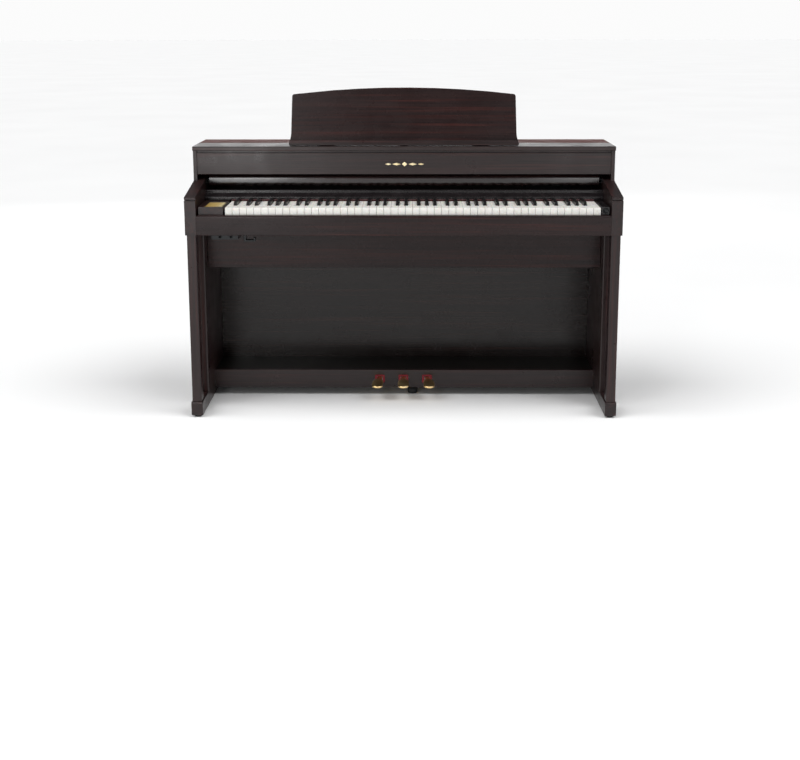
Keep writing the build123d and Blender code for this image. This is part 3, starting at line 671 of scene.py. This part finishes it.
# ---- controls ------------------------------------------------------------------------------
def display_bezel():
    """Thin black frame round the touch display, flush with the cheek block."""
    low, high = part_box("touch_display")
    wall = 1.6 * MM
    bottom = high.z - 0.2 * MM
    top = high.z + 0.15 * MM
    builder = bmesh.new()
    for side in (-1, 1):
        x = low.x if side < 0 else high.x
        edges = sorted((x, x - side * wall))
        add_box(builder, (edges[0], low.y, bottom), (edges[1], high.y, top))
        y = low.y if side < 0 else high.y
        edges = sorted((y, y - side * wall))
        add_box(builder, (low.x + wall, edges[0], bottom), (high.x - wall, edges[1], top))
    piece = new_piece("display_bezel", builder, MATERIALS["control_black"], "cabinet")
    soften(piece, 0.1 * MM, 2)


def power_button():
    """Round button: a flat face with a turned recess and a rounded rim."""
    low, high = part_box("power_button")
    radius = (high.x - low.x) / 2
    place = Matrix.Translation(((low.x + high.x) / 2, high.y, (low.z + high.z) / 2))
    length = high.y - low.y
    builder = bmesh.new()
    profile = [(0, 0), (radius - 0.4 * MM, 0), (radius - 0.01 * MM, 0.6 * MM),
               (radius - 0.01 * MM, length - 1.2 * MM), (radius - 0.5 * MM, length - 0.2 * MM),
               (radius - 1.6 * MM, length), (radius - 2.2 * MM, length - 0.5 * MM),
               (radius - 4.5 * MM, length - 0.9 * MM), (0, length - 1.1 * MM)]
    add_lathe(builder, profile, place @ FACING_FRONT, 48)
    piece = new_piece("power_button_shown", builder, MATERIALS["control_black"], "power_button")
    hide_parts("power_button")


def raised_ring(name, centre, axis_turn, inner, outer, height, slot):
    """A raised ring round a socket of the cabinet."""
    builder = bmesh.new()
    profile = [(inner, 0), (outer, 0), (outer, height * 0.6), (outer - height * 0.4, height),
               (inner + height * 0.3, height), (inner, height * 0.7), (inner, 0)]
    add_lathe(builder, profile, Matrix.Translation(centre) @ axis_turn, 40)
    new_piece(name, builder, MATERIALS[slot], "cabinet")


def jack_rings():
    """A ring round each headphone socket, where the record has a bore for a plug."""
    for index, mount in enumerate(m for m in RECORD["mounts"] if m["kind"] == "bore"):
        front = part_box("jack_box")[0].y
        x, _, z = mount["pos_m"]
        raised_ring("jack_ring_%d" % index, (x, front + 0.05 * MM, z), FACING_FRONT, 3.3 * MM,
                    6.2 * MM, 1.4 * MM, "control_black")


display_bezel()
power_button()
jack_rings()


# ---- height adjuster -----------------------------------------------------------------------
RIBS = 24
RIB_DEPTH = 0.5 * MM          # half of a groove's depth
RIB_LOW = 3.0 * MM
RIB_HIGH = 18.5 * MM
KNOB_GAP = 0.02 * MM
KNOB_PROFILE = [(0.0, 0.90), (0.0012, 0.97), (0.004, 1.0), (0.016, 1.0), (0.019, 0.96),
                (0.020, 0.88)]     # height in metres, share of the radius
STEM_FOOT = 19.9 * MM
THREAD_PITCH = 1.75 * MM
THREAD_ROOT = 5.2 * MM
THREAD_CREST = 5.9 * MM


def height_adjuster():
    """Ribbed round foot on a threaded steel stem."""
    low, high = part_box("height_adjuster")
    centre = (low + high) / 2
    radius = (high.x - low.x) / 2
    builder = bmesh.new()
    steps = RIBS * 4
    rings = []
    for height, share in KNOB_PROFILE:
        ring_verts = []
        for step in range(steps):
            turn = FULL_TURN * step / steps
            ribbed = RIB_LOW < height < RIB_HIGH
            dent = RIB_DEPTH * (1 - math.cos(turn * RIBS)) if ribbed else 0.0
            reach = radius * share - dent - KNOB_GAP
            ring_verts.append(builder.verts.new((centre.x + reach * math.cos(turn),
                                                 centre.y + reach * math.sin(turn), height)))
        rings.append(ring_verts)
    join_rings(builder, rings)
    knob = new_piece("adjuster_knob", builder, MATERIALS["control_black"], "height_adjuster")
    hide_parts("height_adjuster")
    builder = bmesh.new()
    profile = [(0, STEM_FOOT)]
    height = STEM_FOOT
    while height < high.z - THREAD_PITCH:
        profile += [(THREAD_ROOT, height), (THREAD_CREST, height + THREAD_PITCH / 2)]
        height += THREAD_PITCH
    profile += [(THREAD_ROOT, height), (0, height)]
    add_lathe(builder, profile, Matrix.Translation((centre.x, centre.y, 0)), 32)
    new_piece("adjuster_stem", builder, MATERIALS["steel"], "height_adjuster")


height_adjuster()


# ---- screws --------------------------------------------------------------------------------
def screw_head(builder, centre, radius, rise):
    """A domed screw head on the rear side, with a dark cross let into it."""
    place = Matrix.Translation(centre) @ FACING_BACK
    profile = [(0, 0), (radius, 0), (radius, rise * 0.35), (radius * 0.8, rise * 0.85),
               (radius * 0.5, rise), (0, rise)]
    add_lathe(builder, profile, place, 24)
    sunk = 0.5 * rise
    proud = 0.03 * MM
    middle = Matrix.Translation((0, 0, rise + (proud - sunk) / 2))
    for angle in (0, 90):
        turned = place @ Matrix.Rotation(math.radians(angle), 4, "Z") @ middle
        bar = turned @ Matrix.Diagonal((radius * 1.1, radius * 0.22, sunk + proud, 1))
        corners = bmesh.ops.create_cube(builder, size=1.0, matrix=bar)["verts"]
        for face in {face for corner in corners for face in corner.link_faces}:
            face.material_index = 1


def back_screws():
    """Screws round the edges of the rear panel and the back board."""
    low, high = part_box("cabinet_back")
    builder = bmesh.new()
    inset = 14 * MM
    gaps = 8
    for z in (low.z + inset, high.z - inset):
        for step in range(gaps + 1):
            x = low.x + inset + (high.x - low.x - 2 * inset) * step / gaps
            screw_head(builder, (x, high.y - 0.05 * MM, z), 3.8 * MM, 0.9 * MM)
    piece = new_piece("back_screws", builder, MATERIALS["steel"], "cabinet")
    piece.data.materials.append(MATERIALS["control_black"])
    board_low, board_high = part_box("stand_screws")
    builder = bmesh.new()
    inset = 6 * MM
    span = board_high.x - board_low.x
    for share in (0.0, 0.25, 0.75, 1.0):
        for z in (board_low.z + inset, board_high.z - inset):
            x = board_low.x + inset + (span - 2 * inset) * share
            screw_head(builder, (x, board_low.y, z), 5.9 * MM, 2.8 * MM)
    piece = new_piece("stand_screws_shown", builder, MATERIALS["steel"], "cabinet")
    piece.data.materials.append(MATERIALS["control_black"])
    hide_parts("stand_screws")


back_screws()


# ---- rear sockets --------------------------------------------------------------------------
INLET_DEEP = 23.0 * MM
PORT_HALF = 7.0 * MM
PORT_HEIGHT = 4.2 * MM        # of a port's long edges, from its middle
PORT_WALL = 0.6 * MM          # half of a wall's thickness
PORT_RISE = 0.5 * MM


def rear_sockets():
    """Round sockets and two flat ports on the rear housing, and the blades in the mains inlet."""
    low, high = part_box("socket_panel")
    middle = (low.z + high.z) / 2
    face = high.y - 0.05 * MM
    for step in range(3):
        raised_ring("rear_socket_%d" % step, (low.x + (18 + step * 22) * MM, face, middle),
                    FACING_BACK, 3.2 * MM, 5.6 * MM, 0.7 * MM, "steel")
    builder = bmesh.new()
    for x in (low.x + 84 * MM, low.x + 106 * MM):
        for z in (middle + PORT_HEIGHT, middle - PORT_HEIGHT):
            add_box(builder, (x - PORT_HALF, face, z - PORT_WALL),
                    (x + PORT_HALF, face + PORT_RISE, z + PORT_WALL))
        for edge in (x - PORT_HALF, x + PORT_HALF):
            add_box(builder, (edge - PORT_WALL, face, middle - 3.6 * MM),
                    (edge + PORT_WALL, face + PORT_RISE, middle + 3.6 * MM))
    new_piece("rear_ports", builder, MATERIALS["steel"], "cabinet", smooth=False)
    openings = {opening["name"]: opening["box_m"] for opening in RECORD["physics"]["openings"]}
    inlet_low, inlet_high = openings["mains_inlet"]
    x = (inlet_low[0] + inlet_high[0]) / 2
    z = (inlet_low[2] + inlet_high[2]) / 2
    floor = high.y - INLET_DEEP
    builder = bmesh.new()
    for shift, rise in ((-6.5, -1.5), (6.5, -1.5), (0, 3.0)):
        add_box(builder, (x + (shift - 1) * MM, floor - 0.2 * MM, z + (rise - 2.5) * MM),
                (x + (shift + 1) * MM, floor + 5 * MM, z + (rise + 2.5) * MM))
    blades = new_piece("inlet_blades", builder, MATERIALS["steel"], "cabinet")
    soften(blades, 0.3 * MM, 2)


rear_sockets()


# ---- speakers, seen from below -------------------------------------------------------------
def speaker_details():
    """A rolled rubber surround and a domed dust cap under each speaker's cone."""
    low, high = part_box("speakers")
    radius = 80 * MM
    for name, x in (("left", low.x + radius), ("right", high.x - radius)):
        y = (low.y + high.y) / 2
        place = Matrix.Translation((x, y, low.z)) @ FACING_DOWN
        builder = bmesh.new()
        roll = [(58.5 + 4.5 * math.cos(turn), 2.6 * math.sin(turn))
                for turn in (math.pi * step / 8 for step in range(9))]
        profile = [(r * MM, h * MM) for r, h in roll]
        profile += [(54 * MM, -0.6 * MM), (63 * MM, -0.6 * MM), (63 * MM, 0)]
        add_lathe(builder, profile, place, 64)
        new_piece("speaker_surround_" + name, builder, MATERIALS["rubber"], "cabinet")
        builder = bmesh.new()
        dome = [(22 * math.cos(turn) * MM, (9 * math.sin(turn) - 12) * MM)
                for turn in (math.pi / 2 * step / 8 for step in range(9))]
        add_lathe(builder, [(0, -13 * MM), (22 * MM, -13 * MM)] + dome[:-1] + [(0, -3 * MM)],
                  place, 48)
        new_piece("speaker_cap_" + name, builder, MATERIALS["speaker"], "cabinet")


speaker_details()


# ---- floor, light and camera ---------------------------------------------------------------
FLOOR_RADIUS = 150.0
ROOM_STRENGTH = 0.13
BACKDROP_STRENGTH = 0.97
SKY_PLACE = (2.8, -1.4, 4.4)
SKY_POWER = 1.75
SKY_SPREAD = 40               # degrees
SOFTBOXES = (("key", -1.15, 27), ("fill", 1.20, 8))     # name, place along X, power
OVER_SHARE = 0.4              # power of an overhead softbox, as a share of the one under it
CAMERA_PLACE = (0.0308, -4.0351, 1.2735)
CAMERA_ANGLES = (-0.627, 10.763, 0.077)                 # yaw, pitch and roll in degrees
CAMERA_LENS = 53.62
CAMERA_SHIFT_Y = -0.155


def pale_floor():
    """Round pale floor, far wider than the view."""
    t = Tree("floor")
    cloud = t.noise((0.6, 0.6, 0.6), detail=2)
    base = t.mix(t.spread(cloud, 0, 1), (0.90, 0.90, 0.90), (0.93, 0.93, 0.93))
    material = t.finish(base, 0.9, t.bump(t.noise((300, 300, 300)), 0.02, 0.0005),
                        Specular_IOR_Level=0.0)
    builder = bmesh.new()
    bmesh.ops.create_circle(builder, cap_ends=True, radius=FLOOR_RADIUS, segments=96)
    mesh = bpy.data.meshes.new("floor")
    builder.to_mesh(mesh)
    builder.free()
    mesh.materials.append(material)
    floor = bpy.data.objects.new("floor", mesh)
    bpy.context.scene.collection.objects.link(floor)


def add_light(name, kind, place, aim, power, **settings):
    """A soft light at a place, aimed at a point, that the camera doesn't see."""
    light = bpy.data.lights.new(name, kind)
    light.energy = power
    for key, value in settings.items():
        setattr(light, key, value)
    lamp = bpy.data.objects.new(name, light)
    lamp.location = place
    lamp.rotation_euler = (Vector(aim) - Vector(place)).to_track_quat("-Z", "Y").to_euler()
    lamp.visible_camera = False
    bpy.context.scene.collection.objects.link(lamp)


def studio():
    """Dim room, white backdrop, a soft sun each side, softboxes in front and above, rear light."""
    world = bpy.data.worlds.new("studio")
    bpy.context.scene.world = world
    world.use_nodes = True
    nodes, links = world.node_tree.nodes, world.node_tree.links
    room = nodes["Background"]
    room.inputs["Color"].default_value = (0.96, 0.98, 1.0, 1)
    room.inputs["Strength"].default_value = ROOM_STRENGTH
    backdrop = nodes.new("ShaderNodeBackground")
    backdrop.inputs["Color"].default_value = (1, 1, 1, 1)
    backdrop.inputs["Strength"].default_value = BACKDROP_STRENGTH
    seen = nodes.new("ShaderNodeLightPath")
    choice = nodes.new("ShaderNodeMixShader")
    links.new(seen.outputs["Is Camera Ray"], choice.inputs[0])
    links.new(room.outputs[0], choice.inputs[1])
    links.new(backdrop.outputs[0], choice.inputs[2])
    links.new(choice.outputs[0], nodes["World Output"].inputs["Surface"])
    sky_x, sky_y, sky_z = SKY_PLACE
    for name, side in (("left_sky", -1), ("right_sky", 1)):
        add_light(name, "SUN", (side * sky_x, sky_y, sky_z), (0, 0, 0), SKY_POWER,
                  angle=math.radians(SKY_SPREAD))
    for name, x, power in SOFTBOXES:
        add_light(name, "AREA", (x, -4.3, 1.2), (x * 0.4, 0, 0.8), power,
                  shape="RECTANGLE", size=0.5, size_y=1.9)
        add_light(name + "_over", "AREA", (x * 0.8, -2.6, 3.0), (x * 0.4, 0, 0.8),
                  power * OVER_SHARE, shape="RECTANGLE", size=0.5, size_y=2.2)
    add_light("rear", "AREA", (-0.7, 5.0, 1.55), (0, 0, 0.9), 19, shape="RECTANGLE",
              size=5.0, size_y=0.7)
    bpy.context.scene.view_settings.view_transform = "Standard"


def camera():
    """Camera in front, a little above the music rest, looking slightly down."""
    data = bpy.data.cameras.new("camera")
    data.lens = CAMERA_LENS
    data.sensor_width = 36.0
    data.shift_y = CAMERA_SHIFT_Y
    data.clip_end = 400.0
    lens = bpy.data.objects.new("camera", data)
    yaw, pitch, roll = (math.radians(angle) for angle in CAMERA_ANGLES)
    turn = (Matrix.Rotation(-yaw, 4, "Z") @ Matrix.Rotation(math.pi / 2 - pitch, 4, "X")
            @ Matrix.Rotation(-roll, 4, "Z"))
    lens.matrix_world = Matrix.Translation(CAMERA_PLACE) @ turn
    bpy.context.scene.collection.objects.link(lens)
    bpy.context.scene.camera = lens


pale_floor()
studio()
camera()
